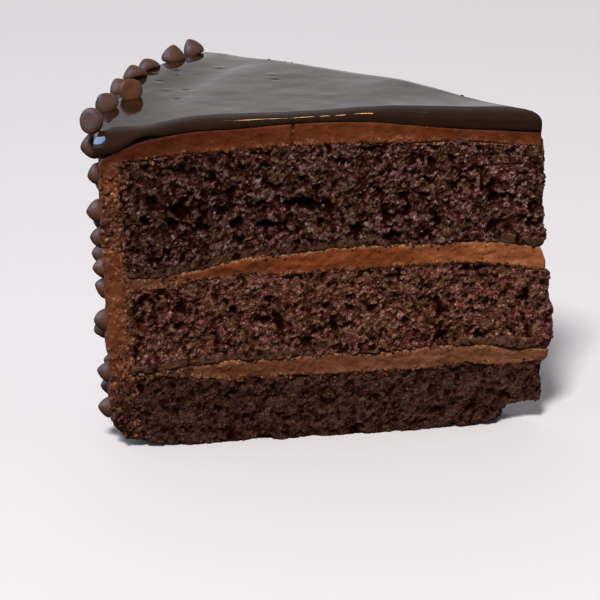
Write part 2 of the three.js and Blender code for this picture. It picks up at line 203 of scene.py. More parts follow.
def grainTexture(tree, place, size, detail=3.0, roughness=0.55):  # noise with features of a size in mm
    node = addNode(tree, "ShaderNodeTexNoise", {"Vector": place, "Scale": 1 / (size * mm),
                                               "Detail": detail, "Roughness": roughness})
    return node.outputs["Fac"]


def attribute(tree, name):
    return addNode(tree, "ShaderNodeAttribute", attribute_name=name).outputs["Fac"]


def numberMath(tree, operation, first, second):
    return addNode(tree, "ShaderNodeMath", {0: first, 1: second}, operation=operation).outputs[0]


def colourMath(tree, operation, first, second):
    return addNode(tree, "ShaderNodeVectorMath", {0: first, 1: second}, operation=operation).outputs[0]


def rampOf(tree, factor, stops):
    ramp = addNode(tree, "ShaderNodeValToRGB", {"Fac": factor})
    elements = ramp.color_ramp.elements
    while len(elements) < len(stops):
        elements.new(0.5)
    for element, (position, colour) in zip(elements, stops):
        element.position = position
        element.color = (*colour, 1)
    return ramp.outputs["Color"]


def blendColour(tree, factor, first, second, mode="MIX"):
    node = addNode(tree, "ShaderNodeMix", data_type="RGBA", blend_type=mode)
    for socket, value in ((node.inputs["Factor"], factor), (node.inputs["A"], first), (node.inputs["B"], second)):
        if isinstance(value, bpy.types.NodeSocket):
            tree.links.new(value, socket)
        elif isinstance(value, tuple):
            socket.default_value = (*value, 1)
        else:
            socket.default_value = value
    return node.outputs[2]


def mapped(tree, value, fromLow, fromHigh, toLow=0, toHigh=1):
    node = addNode(tree, "ShaderNodeMapRange", {"Value": value, "From Min": fromLow, "From Max": fromHigh,
                                               "To Min": toLow, "To Max": toHigh})
    return node.outputs["Result"]


def bumpFrom(tree, height, strength, depth, normal=None):  # depth in mm
    inputs = {"Height": height, "Strength": strength, "Distance": depth * mm}
    if normal is not None:
        inputs["Normal"] = normal
    return addNode(tree, "ShaderNodeBump", inputs).outputs["Normal"]


# Camera, floor and light
studio = {
    "azimuth": 16.52, "elevation": 17.86, "roll": -1.57,
    "distance": 0.745, "target": (-0.00173, -0.02354, 0.03738), "lens": 174.0,
    "floorColour": (0.94, 0.92, 0.98),
    # the room's light: low and high behind the slice, before it, and below
    "worldLow": (0.665, 0.67, 0.68), "worldHigh": (0.345, 0.35, 0.36),
    "worldFront": (0.17, 0.15, 0.14), "worldBelow": (0.07, 0.06, 0.055),
    "worldLeft": (0.8, 0.78, 0.77),  # beyond the outer side
    "worldSeen": (0.87, 0.83, 0.88),  # behind the floor's far edge
    "worldDim": 0.48,  # share of it that lights dull surfaces
    # where one of them goes over into the next, as a share of the direction's length
    "frontToBack": (-0.35, 0.35), "lowToHigh": (0.15, 0.5), "rightToLeft": (-0.45, -0.8), "belowToUp": (-0.15, 0.05),
    "keySize": 0.62, "keyPower": 92.0, "keyPlace": (0.214, -2.035, 2.194), "keyColour": (1.0, 0.95, 0.90),
    "backSize": 1.2, "backPower": 1.2, "backPlace": (-0.35, 1.05, 0.8), "backColour": (1.0, 0.98, 0.97),
    "lampSize": 0.12, "lampPower": 1.8, "lampPlace": (0.273, -0.376, 0.997), "lampColour": (1.0, 0.62, 0.26),
    "windowSize": 0.9, "windowPower": 22.0, "windowPlace": (-0.80, -0.24, 0.72), "windowColour": (0.34, 0.60, 1.0),
    "onlyMirrored": ("lamp", "window"), "neverMirrored": ("key", "back"),
    "lightsAim": (0, 0, 0.04), "floorSize": 3.0,
}


def makeCamera():
    azimuth, elevation, roll = (math.radians(studio[key]) for key in ("azimuth", "elevation", "roll"))
    back = Vector((math.sin(azimuth) * math.cos(elevation), -math.cos(azimuth) * math.cos(elevation),
                   math.sin(elevation)))
    right = Vector((math.cos(azimuth), math.sin(azimuth), 0))
    up = back.cross(right)
    turned = Matrix((right * math.cos(roll) + up * math.sin(roll),
                     up * math.cos(roll) - right * math.sin(roll), back)).transposed()
    data = bpy.data.cameras.new("camera")
    data.lens, data.sensor_width = studio["lens"], 36.0
    camera = bpy.data.objects.new("camera", data)
    place = Vector(studio["target"]) + back * studio["distance"]
    camera.matrix_world = Matrix.Translation(place) @ turned.to_4x4()
    bpy.context.scene.collection.objects.link(camera)
    bpy.context.scene.camera = camera


def softbox(name, place, size, power, colour):
    data = bpy.data.lights.new(name, "AREA")
    data.shape, data.size, data.energy, data.color = "DISK", size, power, colour
    light = bpy.data.objects.new(name, data)
    light.location = place
    light.rotation_euler = (Vector(studio["lightsAim"]) - Vector(place)).to_track_quat("-Z", "Y").to_euler()
    light.visible_diffuse = name not in studio["onlyMirrored"]
    light.visible_glossy = name not in studio["neverMirrored"]
    bpy.context.scene.collection.objects.link(light)


def makeFloor():
    bm = bmesh.new()
    bmesh.ops.create_grid(bm, x_segments=1, y_segments=1, size=studio["floorSize"])
    mesh = bpy.data.meshes.new("floor")
    bm.to_mesh(mesh)
    bm.free()
    floor = bpy.data.objects.new("floor", mesh)
    bpy.context.scene.collection.objects.link(floor)
    material, _, shader = startMaterial("paleFloor", {"Roughness": 0.7})
    shader.inputs["Base Color"].default_value = (*studio["floorColour"], 1)
    mesh.materials.append(material)
    floor.visible_glossy = False
    floor.visible_diffuse = False


def makeLight():
    world = bpy.data.worlds.new("studio")
    world.use_nodes = True
    bpy.context.scene.world = world
    tree = world.node_tree
    direction = addNode(tree, "ShaderNodeTexCoord").outputs["Generated"]
    parts = addNode(tree, "ShaderNodeSeparateXYZ", {"Vector": direction}).outputs
    behind = blendColour(tree, mapped(tree, parts["Z"], *studio["lowToHigh"]), studio["worldLow"], studio["worldHigh"])
    around = blendColour(tree, mapped(tree, parts["Y"], *studio["frontToBack"]), studio["worldFront"], behind)
    around = blendColour(tree, mapped(tree, parts["X"], *studio["rightToLeft"]), around, studio["worldLeft"])
    lit = blendColour(tree, mapped(tree, parts["Z"], *studio["belowToUp"]), studio["worldBelow"], around)
    rays = addNode(tree, "ShaderNodeLightPath").outputs
    background = tree.nodes["Background"].inputs
    tree.links.new(mapped(tree, rays["Is Diffuse Ray"], 0, 1, 1, studio["worldDim"]), background["Strength"])
    tree.links.new(blendColour(tree, rays["Is Camera Ray"], lit, studio["worldSeen"]), background["Color"])
    for light in ("key", "back", "lamp", "window"):
        softbox(light, *(studio[light + part] for part in ("Place", "Size", "Power", "Colour")))
    bpy.context.scene.view_settings.view_transform = "Standard"


makeCamera()
makeFloor()
makeLight()
print("studio ready")


# Sponges: a copy of each solid, its cut faces roughened into crumb
crumbSites = []  # where a loose crumb lies: its point, the way it faces, and how creamy it is
sponge = {
    "looseCrumbs": 1300,  # places drawn on each sponge; those in a pore or on the crust stay empty
    # brightness: at the rim and at the tip
    "top": {"brightness": (1.16, 2.02), "relief": 1.0, "pores": 0.8, "contrast": 1.3, "tint": (1.0, 1.04, 1.14)},
    "middle": {"brightness": (1.95, 2.52), "relief": 0.8, "pores": 0.6, "contrast": 0.9, "tint": (1.03, 0.95, 0.93)},
    "bottom": {"brightness": (0.8, 0.9), "relief": 0.55, "pores": 0.5, "contrast": 0.45, "tint": (1.0, 1.0, 0.97)},
    # longest edge in mm before the last cuts
    "split": {"longest": 1.25, "rounds": 4, "lastCuts": 2, "smoothed": True},
    "coarseGrain": 1.15, "coarseHeight": 0.75,  # large crumbs
    "fineGrain": 0.62, "fineHeight": 0.4,  # small ones between them
    "warpGrain": 1.1, "warp": 0.35,  # bends their outlines
    "roughGrain": 2.6, "roughHeight": 0.6,
    "settled": 0.42,  # mm that the whole relief lies back
    "poreGrain": 3.0, "poreDepth": 2.6, "poreFrom": 0.2,
    "openGrain": 13.0, "openness": 0.16,  # opener and closer crumb by turns
    "bakedBand": 1.9,  # mm of closed crust above each filling
    # torn hollows in the near cut: distance, height, half width, half height, depth
    "hollows": ((94.9, 62.8, 2.6, 2.6, 2.2), (102.0, 66.0, 2.0, 1.6, 1.4), (64.6, 63.1, 5.0, 1.9, 2.2),
                (80.8, 58.8, 2.0, 1.4, 2.0), (73.4, 58.3, 3.0, 1.2, 1.8), (89.6, 57.9, 2.4, 1.6, 1.8),
                (97.0, 59.9, 2.0, 1.8, 1.6), (46.5, 77.3, 2.4, 1.3, 1.8), (30.2, 76.4, 1.6, 1.1, 1.4),
                (53.8, 73.8, 1.8, 1.4, 1.4), (102.6, 75.2, 1.8, 1.4, 1.4), (73.3, 73.0, 1.8, 1.3, 1.4),
                (104.0, 60.9, 1.6, 1.4, 1.3), (4.6, 59.2, 1.6, 2.0, 1.4), (20.0, 43.6, 4.6, 1.1, 1.8),
                (41.0, 42.4, 2.4, 0.9, 1.4), (82.5, 35.9, 1.2, 1.2, 2.2), (104.6, 40.0, 2.0, 1.6, 1.6)),
    "cutDepth": 2.6, "centreDepth": 9,  # mm behind a cut, and round the cake's centre, that count as cut
    "capSlope": 0.72,  # a face that looks further up or down than this is a cap
    "rimMargin": 1.2, "rimSlope": 0.5, "rimFrom": 2,  # the rim's wall, which the cream hides
    "cornerReach": 14, "cornerTall": 9,  # the broken corner at the tip's foot
    "tipReach": 9.0, "tipRelief": 0.55,  # the tip was pressed smoother
    "rimSunk": 0.1, "rimSunkRun": (103.0, 109.5),  # the crumb beside the rim lies behind the cream that laps it
    "levelPush": 0.4,  # share of its rise that a push out of the face keeps
    "cellSize": 0.7, "patchGrain": 2.6, "speckleGrain": 0.32, "surfaceGrain": 0.35,
    "roughness": (0.38, 0.7), "gloss": (0.03, 0.28),  # gloss: from the pores to the crumbs' tops
    # dark to light crumbs; the contrast of a sponge is taken from the second
    "shades": ((0.1, (0.046, 0.014, 0.009)), (0.4, (0.104, 0.044, 0.036)), (0.68, (0.155, 0.080, 0.070)),
               (0.95, (0.225, 0.155, 0.140))),
    "reddish": (0.150, 0.043, 0.040), "olive": (0.120, 0.064, 0.031),  # patches
    "crust": ((0.090, 0.040, 0.024), (0.144, 0.065, 0.040)),
    # painted shade: deep darkens the crumb's pores and low places, crack the cracks between the crumbs
    "deep": (0.012, 0.002, 0.001), "crack": (0.014, 0.002, 0.001),
}


def copyOfNode(name):
    bm = bmesh.new()
    bm.from_mesh(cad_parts[name].data)
    bmesh.ops.remove_doubles(bm, verts=bm.verts, dist=1e-6)
    return bm


def granule(place, grain):  # rounded crumb height, 0 in the crack round it, and the crumb's own tone
    distances, points = noise.voronoi(place / grain)
    share = distances[0] / max(distances[1], 1e-6)
    tone = noise.cell(points[0] * 13.7 + Vector((0.31, 0.17, 0.53)))
    return math.sqrt(max(0.0, 1 - share * share)), tone


def faceOutward(point):  # level direction out of the cut or tip face that a point lies on
    distance, turn, _ = aroundCake(point)
    tipCentre = Vector((cake["centre"][0] - cake["tipRounding"] / math.sin(halfCut), cake["centre"][1], 0))
    fromTip = Vector((point.x / mm, point.y / mm, 0)) - tipCentre
    if distance < cake["tipZone"] and abs(math.atan2(fromTip.y, fromTip.x)) < math.pi / 2 - halfCut:
        return fromTip.normalized()
    return cutOutward(turn)


def isRough(face):  # a face of the cuts, the tip or the broken corner, not a cap or the rim
    distance, turn, height = aroundCake(face.calc_center_median())
    inward = distance * math.sin(halfCut - abs(turn))
    slope = abs(face.normal.z)
    onRim = distance > cake["spongeRadius"] - sponge["rimMargin"] and inward > sponge["rimFrom"]
    if onRim and slope < sponge["rimSlope"]:
        return False
    nearCut = inward < sponge["cutDepth"] or distance < sponge["centreDepth"]
    inCorner = distance < sponge["cornerReach"] and height < sponge["cornerTall"]
    return slope < sponge["capSlope"] and nearCut or inCorner


def onRough(bm, items):  # edges or vertices of the rough faces, in the mesh's own order
    faces = {face for face in bm.faces if isRough(face)}
    return [item for item in items if any(face in faces for face in item.link_faces)]


def splitRough(bm, split):  # splits the rough faces finely and gives their vertices
    rough = onRough(bm, bm.edges)
    for _ in range(split["rounds"]):
        longEdges = [edge for edge in rough if edge.calc_length() > split["longest"] * mm]
        if not longEdges:
            break
        bmesh.ops.subdivide_edges(bm, edges=longEdges, cuts=1, use_grid_fill=True)
        bm.normal_update()
        rough = onRough(bm, bm.edges)
    smoothing = {"factor": 0.5, "use_axis_x": True, "use_axis_y": True}
    if split["smoothed"]:
        bmesh.ops.smooth_vert(bm, verts=onRough(bm, bm.verts), **smoothing)
    bmesh.ops.subdivide_edges(bm, edges=rough, cuts=split["lastCuts"], use_grid_fill=True)
    bm.normal_update()
    rough = onRough(bm, bm.verts)
    if split["smoothed"]:
        bmesh.ops.smooth_vert(bm, verts=rough, **smoothing)
        bm.normal_update()
    return rough


def poreOpening(place):
    pore = wobble(*place, sponge["poreGrain"], 4) + 0.5 * wobble(*place, 1.3, 5)
    return max(0.0, pore + sponge["openness"] * wobble(*place, sponge["openGrain"], 9) - sponge["poreFrom"])


def hollowDepth(distance, turn, height, ragged):
    if turn > 0:
        return 0.0
    depth = 0.0
    for atDistance, atHeight, wide, tall, deep in sponge["hollows"]:
        inside = 1 - ((distance - atDistance) / wide) ** 2 - ((height - atHeight) / tall) ** 2 + 0.7 * ragged
        depth = max(depth, deep * min(1.0, 1.6 * max(0.0, inside)))
    return depth


def crustShare(place, above):  # closed crust so many mm above a filling, broken here and there
    above -= 0.6 * wobble(*place, 6.0, 6)
    band = 1 - ease(sponge["bakedBand"] * 0.7, sponge["bakedBand"] * 1.2, above)
    return band * ease(-0.25, 0.25, wobble(*place, 17.0, 8) + 0.1)


def crumbSponge(name, node, kind, bandLayer, seed):
    look = sponge[kind]
    bm = copyOfNode(node)
    heightLayer, toneLayer, crustLayer = vertexValues(bm, "crumbHeight", "crumbTone", "bakedBand")
    shift = Vector((13.1, 4.7, 29.3)) * seed
    moves = []
    for vert in splitRough(bm, sponge["split"]):
        place = vert.co / mm + shift
        warp = Vector([wobble(*place, sponge["warpGrain"], axis) for axis in (1, 2, 3)]) * sponge["warp"]
        coarse, tone = granule(place + warp, sponge["coarseGrain"])
        fine, fineTone = granule(place + warp * 0.6, sponge["fineGrain"])
        coarse *= 0.3 + 0.7 * tone
        fine *= 0.4 + 0.6 * fineTone
        pore = poreOpening(place) * look["pores"]
        ragged = noise.fractal(place / sponge["roughGrain"], 0.7, 2.1, 4)
        distance, turn, height = aroundCake(vert.co)
        hollow = hollowDepth(distance, turn, height, ragged)
        crust = crustShare(place, height - layerHeight(bandLayer, distance, turn)) if bandLayer else 0.0
        rise = coarse * sponge["coarseHeight"] + fine * sponge["fineHeight"] + ragged * sponge["roughHeight"]
        move = look["relief"] * (rise - sponge["settled"]) * (1 - 0.75 * crust)
        sunk = sponge["rimSunk"] * ease(*sponge["rimSunkRun"], distance + 2.5 * wobble(*place, 2.4, 7))
        move = move - sponge["poreDepth"] * pore * (1 - crust) - hollow - sunk
        if distance < sponge["tipReach"]:
            move *= mix(sponge["tipRelief"], 1, distance / sponge["tipReach"])
        outward = (faceOutward(vert.co) * 0.75 + vert.normal * 0.25).normalized()
        outward.z *= sponge["levelPush"]
        moves.append((vert, vert.co + outward * move * mm))
        # height of the crumb, 0 in pores and hollows; the material paints shade from it
        level = 0.25 + 0.6 * coarse + 0.4 * fine + 0.25 * ragged - pore * 1.6 - hollow * 0.3
        vert[heightLayer] = min(1.0, max(0.0, level))
        vert[toneLayer] = 0.65 * tone + 0.35 * fineTone
        vert[crustLayer] = crust
    for vert, co in moves:
        vert.co = co
    for vert in bm.verts:
        vert.co = insideBox(vert.co)
    for vert, _ in random.Random(seed).sample(moves, sponge["looseCrumbs"]):
        if vert[heightLayer] > 0.4 and vert[crustLayer] < 0.5:
            crumbSites.append((vert.co.copy(), faceOutward(vert.co), 0.0))
    finishPiece(name, bm, spongeMaterial(name, look), [node])


def crumbCells(tree, place, size):  # each crumb's two random values, and 0 in the cracks to 1 inside
    ragged = addNode(tree, "ShaderNodeTexNoise", {"Vector": place, "Scale": 1 / (size * 0.8 * mm), "Detail": 2.0})
    moved = colourMath(tree, "ADD", place, ragged.outputs["Color"])
    bent = addNode(tree, "ShaderNodeMix", {"Factor": size * 0.55 * mm, "A": place, "B": moved},
                   data_type="VECTOR", clamp_factor=False)
    grid = {"Vector": bent.outputs[1], "Scale": 1 / (size * mm)}
    cells = addNode(tree, "ShaderNodeTexVoronoi", grid)
    edges = addNode(tree, "ShaderNodeTexVoronoi", grid, feature="DISTANCE_TO_EDGE")
    values = addNode(tree, "ShaderNodeSeparateColor", {"Color": cells.outputs["Color"]}).outputs
    return values["Red"], values["Green"], mapped(tree, edges.outputs["Distance"], 0.0, 0.16)


def spongeMaterial(name, look):
    material, tree, shader = startMaterial(name)
    place = objectPlace(tree)
    cell, hue, inside = crumbCells(tree, place, sponge["cellSize"])
    height, band = attribute(tree, "crumbHeight"), attribute(tree, "bakedBand")
    tone = mapped(tree, numberMath(tree, "ADD", cell, attribute(tree, "crumbTone")), 0.2, 1.8)
    middle = sponge["shades"][1][1]
    shades = [(share, tuple(mix(centre, channel, look["contrast"]) for centre, channel in zip(middle, colour)))
              for share, colour in sponge["shades"]]
    patches = mapped(tree, grainTexture(tree, place, sponge["patchGrain"], 2.0), 0.32, 0.68)
    hue = addNode(tree, "ShaderNodeMix", {"Factor": 0.3, 2: patches, 3: hue}).outputs[0]
    crumb = blendColour(tree, mapped(tree, hue, 0.55, 0.85, 0, 0.45), rampOf(tree, tone, shades), sponge["reddish"])
    crumb = blendColour(tree, mapped(tree, hue, 0.5, 0.12, 0, 0.75), crumb, sponge["olive"])
    crumb = colourMath(tree, "MULTIPLY", crumb, look["tint"])
    tipward = addNode(tree, "ShaderNodeSeparateXYZ", {"Vector": place}).outputs["X"]
    speckle = mapped(tree, grainTexture(tree, place, sponge["speckleGrain"], 2.0, 0.7), 0.3, 0.7, 0.45, 1.55)
    brightness = numberMath(tree, "MULTIPLY", mapped(tree, tipward, -0.05, 0.055, *look["brightness"]), speckle)
    crumb = colourMath(tree, "MULTIPLY", crumb, brightness)
    crust = blendColour(tree, mapped(tree, grainTexture(tree, place, 1.6), 0.35, 0.65), *sponge["crust"])
    surface = blendColour(tree, band, crumb, crust)
    # painted shade in the crumb's pores and low places, then in the cracks between the crumbs
    colour = blendColour(tree, mapped(tree, height, 0.05, 0.55), sponge["deep"], surface)
    unbroken = numberMath(tree, "MAXIMUM", inside, band)
    colour = blendColour(tree, mapped(tree, unbroken, 0, 1, 0.7, 0), colour, sponge["crack"])
    surfaceGrain = grainTexture(tree, place, sponge["surfaceGrain"], 3.0, 0.6)
    wireShader(tree, shader, colour, mapped(tree, surfaceGrain, 0.3, 0.7, *sponge["roughness"]),
               bumpFrom(tree, surfaceGrain, 0.6, 0.3, bumpFrom(tree, inside, 0.7, 0.3)))
    tree.links.new(mapped(tree, height, 0.1, 0.6, *sponge["gloss"]), shader.inputs["Specular IOR Level"])
    return material


crumbSponge("topSpongeCrumb", "sponge_top", "top", "upperFillingTop", 1)
crumbSponge("middleSpongeCrumb", "sponge_middle", "middle", "lowerFillingTop", 2)
crumbSponge("bottomSpongeCrumb", "sponge_bottom", "bottom", None, 3)


# Fillings: a copy of each solid, smeared along the cuts by the knife
filling = {
    "split": {"longest": 1.0, "rounds": 3, "lastCuts": 2, "smoothed": False},
    "overlap": 0.35,  # mm that a band swells over the crumb above and below it
    "borderWave": 0.55, "borderWaveFine": 0.35,
    "smearHeight": 0.26, "lumpHeight": 0.2, "pitDepth": 0.6, "pitFrom": 0.35,
    "bevel": 0.55,  # mm that the cut face falls back at the band's borders
    "crumbBorder": 0.8,  # mm of mixed crumb and cream along the borders
    "darkFrom": 88.0, "darkFull": 97.0,  # where the lower band is smeared over with crumb
    # tones from the rim to the tip
    "upperTones": ((0.05, (0.142, 0.046, 0.027)), (0.35, (0.192, 0.048, 0.015)), (0.6, (0.230, 0.058, 0.018)),
                   (0.95, (0.360, 0.120, 0.047))),
    "lowerTones": ((0.05, (0.138, 0.052, 0.028)), (0.35, (0.150, 0.049, 0.024)), (0.6, (0.168, 0.058, 0.028)),
                   (0.95, (0.210, 0.083, 0.041))),
    "smeared": 0.35,  # share of crumb in the upper band beside the rim
    "paleShare": 0.7,  # how strong the pale grains along the borders are
}


def fillingCrumb(place, distance, border, band, seed):  # share of crumb mixed into the cream
    mixed = 1 - ease(0.0, filling["crumbBorder"], border + 0.6 * wobble(*place, 1.5, seed + 7))
    if band == "lowerFilling":
        wandered = distance + 3 * wobble(*place, 3.0, 9)
        return max(mixed, 1.2 * ease(filling["darkFrom"], filling["darkFull"], wandered))
    smeared = filling["smeared"] * ease(filling["darkFrom"], filling["darkFull"], distance)
    return max(mixed, smeared * (1 + 2 * wobble(*place, 2.0, 9)))


def smearedFilling(name, node, material, band, seed):
    bm = copyOfNode(node)
    toneLayer, crumbLayer, paleLayer = vertexValues(bm, "toneShare", "crumbShare", "paleShare")
    moves = []
    for vert in splitRough(bm, filling["split"]):
        place = vert.co / mm + Vector((5.3, 9.1, 2.2)) * seed
        distance, turn, height = aroundCake(vert.co)
        top, bottom = (layerHeight(band + end, distance, turn) for end in ("Top", "Bottom"))
        border = min(top - height, height - bottom)
        streak = wobble(distance, turn, place.z * 2.6, 5.0, seed)
        lump = wobble(*place, 1.4, seed)
        pit = max(0.0, wobble(*place, 1.0, seed + 2) - filling["pitFrom"])
        move = filling["smearHeight"] * streak + filling["lumpHeight"] * lump - filling["pitDepth"] * pit
        move -= filling["bevel"] * (1 - ease(-0.2, 0.9, border))
        wave = filling["borderWave"] * wobble(*place, 2.8, seed + 5)
        wave += filling["borderWaveFine"] * wobble(*place, 0.9, seed + 6)
        lift = math.copysign(filling["overlap"] + wave, height - (top + bottom) / 2) * (1 - ease(0.2, 1.4, border))
        moves.append((vert, vert.co + (faceOutward(vert.co) * move + Vector((0, 0, lift))) * mm))
        vert[toneLayer] = 1 - distance / cake["radius"] + 0.16 * wobble(*place, 8.0, 3)
        vert[crumbLayer] = fillingCrumb(place, distance, border, band, seed)
        inBand = ease(0.3, 1.3, border + 0.7 * wobble(*place, 2.2, seed + 8))
        vert[paleLayer] = filling["paleShare"] * (1 - inBand)
    for vert, co in moves:
        vert.co = co
    finishPiece(name, bm, material, [node])


# Cream, in the fillings and on the outside, with crumb smeared into it
cream = {
    "gloss": 0.22, "roughness": (0.4, 0.62),
    "smearGrain": 5.0, "smearStretch": (1, 1, 2.6),  # drawn out level by the knife
    "smearShades": ((0.3, (0.62, 0.48, 0.36)), (0.5, (0.93, 0.92, 0.92)), (0.7, (1.3, 1.42, 1.65))),
    "under": (0.072, 0.013, 0.005),  # painted shade on the cream below the glaze
    "grains": (0.540, 0.260, 0.135), "grainSize": 0.7,  # pale grains along a border
    "rippleGrain": 1.1, "rippleDepth": 0.4, "crumbSize": 0.85,
    "crumbShades": ((0.1, (0.036, 0.013, 0.009)), (0.45, (0.090, 0.035, 0.023)), (0.7, (0.190, 0.076, 0.046)),
                    (0.9, (0.400, 0.190, 0.105))),
    # crack: painted shade in the cracks between the crumbs
    "crumbOrange": (0.220, 0.058, 0.016), "crack": (0.020, 0.005, 0.002),
}


def creamMaterial(name, tones):
    material, tree, shader = startMaterial(name, {"Specular IOR Level": cream["gloss"]})
    place = objectPlace(tree)
    smear = grainTexture(tree, objectPlace(tree, cream["smearStretch"]), cream["smearGrain"], 5.0, 0.62)
    plain = colourMath(tree, "MULTIPLY", rampOf(tree, attribute(tree, "toneShare"), tones),
                        rampOf(tree, smear, cream["smearShades"]))
    # painted shade on the cream below the glaze
    plain = blendColour(tree, mapped(tree, attribute(tree, "paintedShadeShare"), 0, 1, 0, 0.7), plain, cream["under"])
    grains = grainTexture(tree, place, cream["grainSize"], 2.0, 0.6)
    granular = numberMath(tree, "MULTIPLY", attribute(tree, "paleShare"), mapped(tree, grains, 0.43, 0.58, 0.03, 1))
    plain = blendColour(tree, granular, plain, cream["grains"])
    cell, _, inside = crumbCells(tree, place, cream["crumbSize"])
    orange = attribute(tree, "orangeShare")
    crumb = blendColour(tree, mapped(tree, orange, 0, 1, 0, 0.8), rampOf(tree, cell, cream["crumbShades"]),
                        cream["crumbOrange"], "SCREEN")
    crumb = colourMath(tree, "MULTIPLY", crumb, mapped(tree, orange, -1, 0, 0.24, 1))
    # painted shade in the cracks between the crumbs
    crumb = blendColour(tree, mapped(tree, inside, 0, 1, 0.75, 0), crumb, cream["crack"])
    crumbed = numberMath(tree, "ADD", attribute(tree, "crumbShare"), mapped(tree, grains, 0.35, 0.65, 0.35, -0.35))
    colour = blendColour(tree, mapped(tree, crumbed, 0.2, 0.75), plain, crumb)
    ripple = grainTexture(tree, place, cream["rippleGrain"], 5.0, 0.65)
    wireShader(tree, shader, colour, mapped(tree, smear, 0.3, 0.7, *cream["roughness"]),
               bumpFrom(tree, ripple, 0.8, cream["rippleDepth"]))
    return material


upperCream, lowerCream = (creamMaterial(part + "Cream", filling[part + "Tones"]) for part in ("upper", "lower"))
smearedFilling("upperFillingSmear", "filling_upper", upperCream, "upperFilling", 1)
smearedFilling("lowerFillingSmear", "filling_lower", lowerCream, "lowerFilling", 2)


# A sheet with a thickness, to be bent round the slice: every vertex keeps how far along the section it lies,
# how far across the slice from the near cut, and how far out through the thickness, each from 0 to 1
def thickSheet(alongSteps, acrossSteps, rows):
    bm = bmesh.new()
    layers = vertexValues(bm, "along", "across", "through")
    bmesh.ops.create_grid(bm, x_segments=alongSteps, y_segments=acrossSteps, size=0.5)
    size = max(vert.co.x for vert in bm.verts) * 2
    for vert in bm.verts:
        vert[layers[0]] = vert.co.x / size + 0.5
        vert[layers[1]] = vert.co.y / size + 0.5
    outer = bmesh.ops.extrude_face_region(bm, geom=bm.faces[:], use_keep_orig=True)["geom"]
    outerVerts = {item for item in outer if isinstance(item, bmesh.types.BMVert)}
    for vert in outerVerts:
        vert[layers[2]] = 1.0
    walls = [edge for edge in bm.edges if (edge.verts[0] in outerVerts) != (edge.verts[1] in outerVerts)]
    bmesh.ops.subdivide_edges(bm, edges=walls, cuts=rows, use_grid_fill=True)
    return bm, layers


# Cream coat: over the top, round the rim and down the outer side
coat = {
    "thickness": 4.8, "innerMargin": 0.2,  # of the side, and how much further in its hidden face lies
    "underGlaze": 0.3,  # mm that its top, which the glaze hides, keeps below the cream's height
    "foot": 2.6, "footIn": 4.0, "footTall": 7.0,  # lowest edge, how far it is drawn in and over what height
    "corner": 3.2,  # rounding where the top turns down the side
    "tip": 2.2,  # distance of the tip from where the cuts would meet
    "overlap": 0.7,  # mm that the cream sinks into the crumb below it
    "alongSteps": 420, "acrossSteps": 66, "rows": 17,
    "knifeHeight": 0.9, "knifeGrain": 13.0, "knifeFlatter": 1.6,
    "fineHeight": 0.5, "fineGrain": 5.0,
    "cutSmear": 0.22, "crumbHeight": 1.3, "crumbGrain": 1.3,
    "sideRun": (107.5, 110.5), "sideHeights": (70, 80),  # where the top's cream goes over into the side's
    "lapTop": 1.3, "lapOut": 0.25, "lapIn": 0.9,  # how far the cut cream laps the crumb, how it slopes
    "lapSide": (2.6, 2.6, 2.6, 2.4, 2.2, 2.0, 1.7, 1.6, 1.4),  # the same beside the outer side, every 10 mm up
    "borderHump": {"distance": 38.0, "reach": 7.0, "rise": 0.9},  # where the border at the near cut rises
    "borderWave": 1.0, "borderWaveFine": 0.7,
    "crack": {"distance": 65.8, "width": 0.6, "depth": 1.6, "from": 77.5},
    # how crumbly the cut edge of the side is, every 10 mm up from the board
    "crumbliness": (1.0, 0.9, 0.55, 0.35, 0.3, 0.25, 0.85, 0.8, 0.6),
    # side first, then the top from the rim to the tip
    "tones": ((0.05, (0.180, 0.053, 0.022)), (0.3, (0.085, 0.018, 0.006)), (0.62, (0.178, 0.045, 0.015)),
              (0.95, (0.142, 0.035, 0.010))),
    # how orange the crumbs of the side are, or how dark where it is less than 0, every 10 mm
    "orange": (-1.0, -0.85, 0.0, 0.3, 0.5, 0.3, 0.0, 0.75, 0.6),
}


def sideRelief(turn, height):  # left by the spreading knife
    x, y = onPlan(cake["radius"], turn)
    return (coat["knifeHeight"] * wobble(x, y, height * coat["knifeFlatter"], coat["knifeGrain"], 20)
            + coat["fineHeight"] * wobble(x, y, height, coat["fineGrain"], 21))


def hump(distance, place):  # 1 at a place along the cut, fading to both sides
    return math.exp(-((distance - place["distance"]) / place["reach"]) ** 2)


def coatSide(turn, height):  # how far out the side lies, drawn in at its foot
    return (cake["radius"] + sideRelief(turn, height)
            - coat["footIn"] * (1 - ease(0, coat["footTall"], height - coat["foot"])) ** 2)


def coatOuter(share, turn):
    radius, corner, foot = cake["radius"], coat["corner"], coat["foot"]
    top = layerHeight("creamTop", radius, turn) - coat["underGlaze"]
    flat, bent = radius - corner - coat["tip"], corner * math.pi / 2
    run = share * (flat + bent + (top - corner - foot))
    if run < flat:
        distance = coat["tip"] + run
        return distance, layerHeight("creamTop", distance, turn) - coat["underGlaze"]
    if run < flat + bent:
        bend = (run - flat) / corner
        return radius - corner + corner * math.sin(bend), top - corner + corner * math.cos(bend)
    height = top - corner - (run - flat - bent)
    return mix(radius, coatSide(turn, height), ease(0, 6, top - height)), height


def lapAside(height):
    return upRow(coat["lapSide"], height)


def coatInner(share, turn):
    distance, height = coatOuter(share, turn)
    inside = cake["radius"] - coat["thickness"] - coat["innerMargin"]
    top = layerHeight("spongeTop", min(distance, inside), turn) - coat["overlap"]
    if abs(turn) > halfCut - 0.001:  # the border that shows at a cut wanders
        place = (distance, height, math.copysign(40, turn))
        wave = coat["borderWave"] * wobble(*place, 3.0, 14) + coat["borderWaveFine"] * wobble(*place, 1.2, 15)
        top += wave - coat["lapTop"]
        if turn < 0:
            top += coat["borderHump"]["rise"] * hump(distance, coat["borderHump"])
        inside += 2.4 * wave - lapAside(height)
    return min(distance, inside), min(height, top)


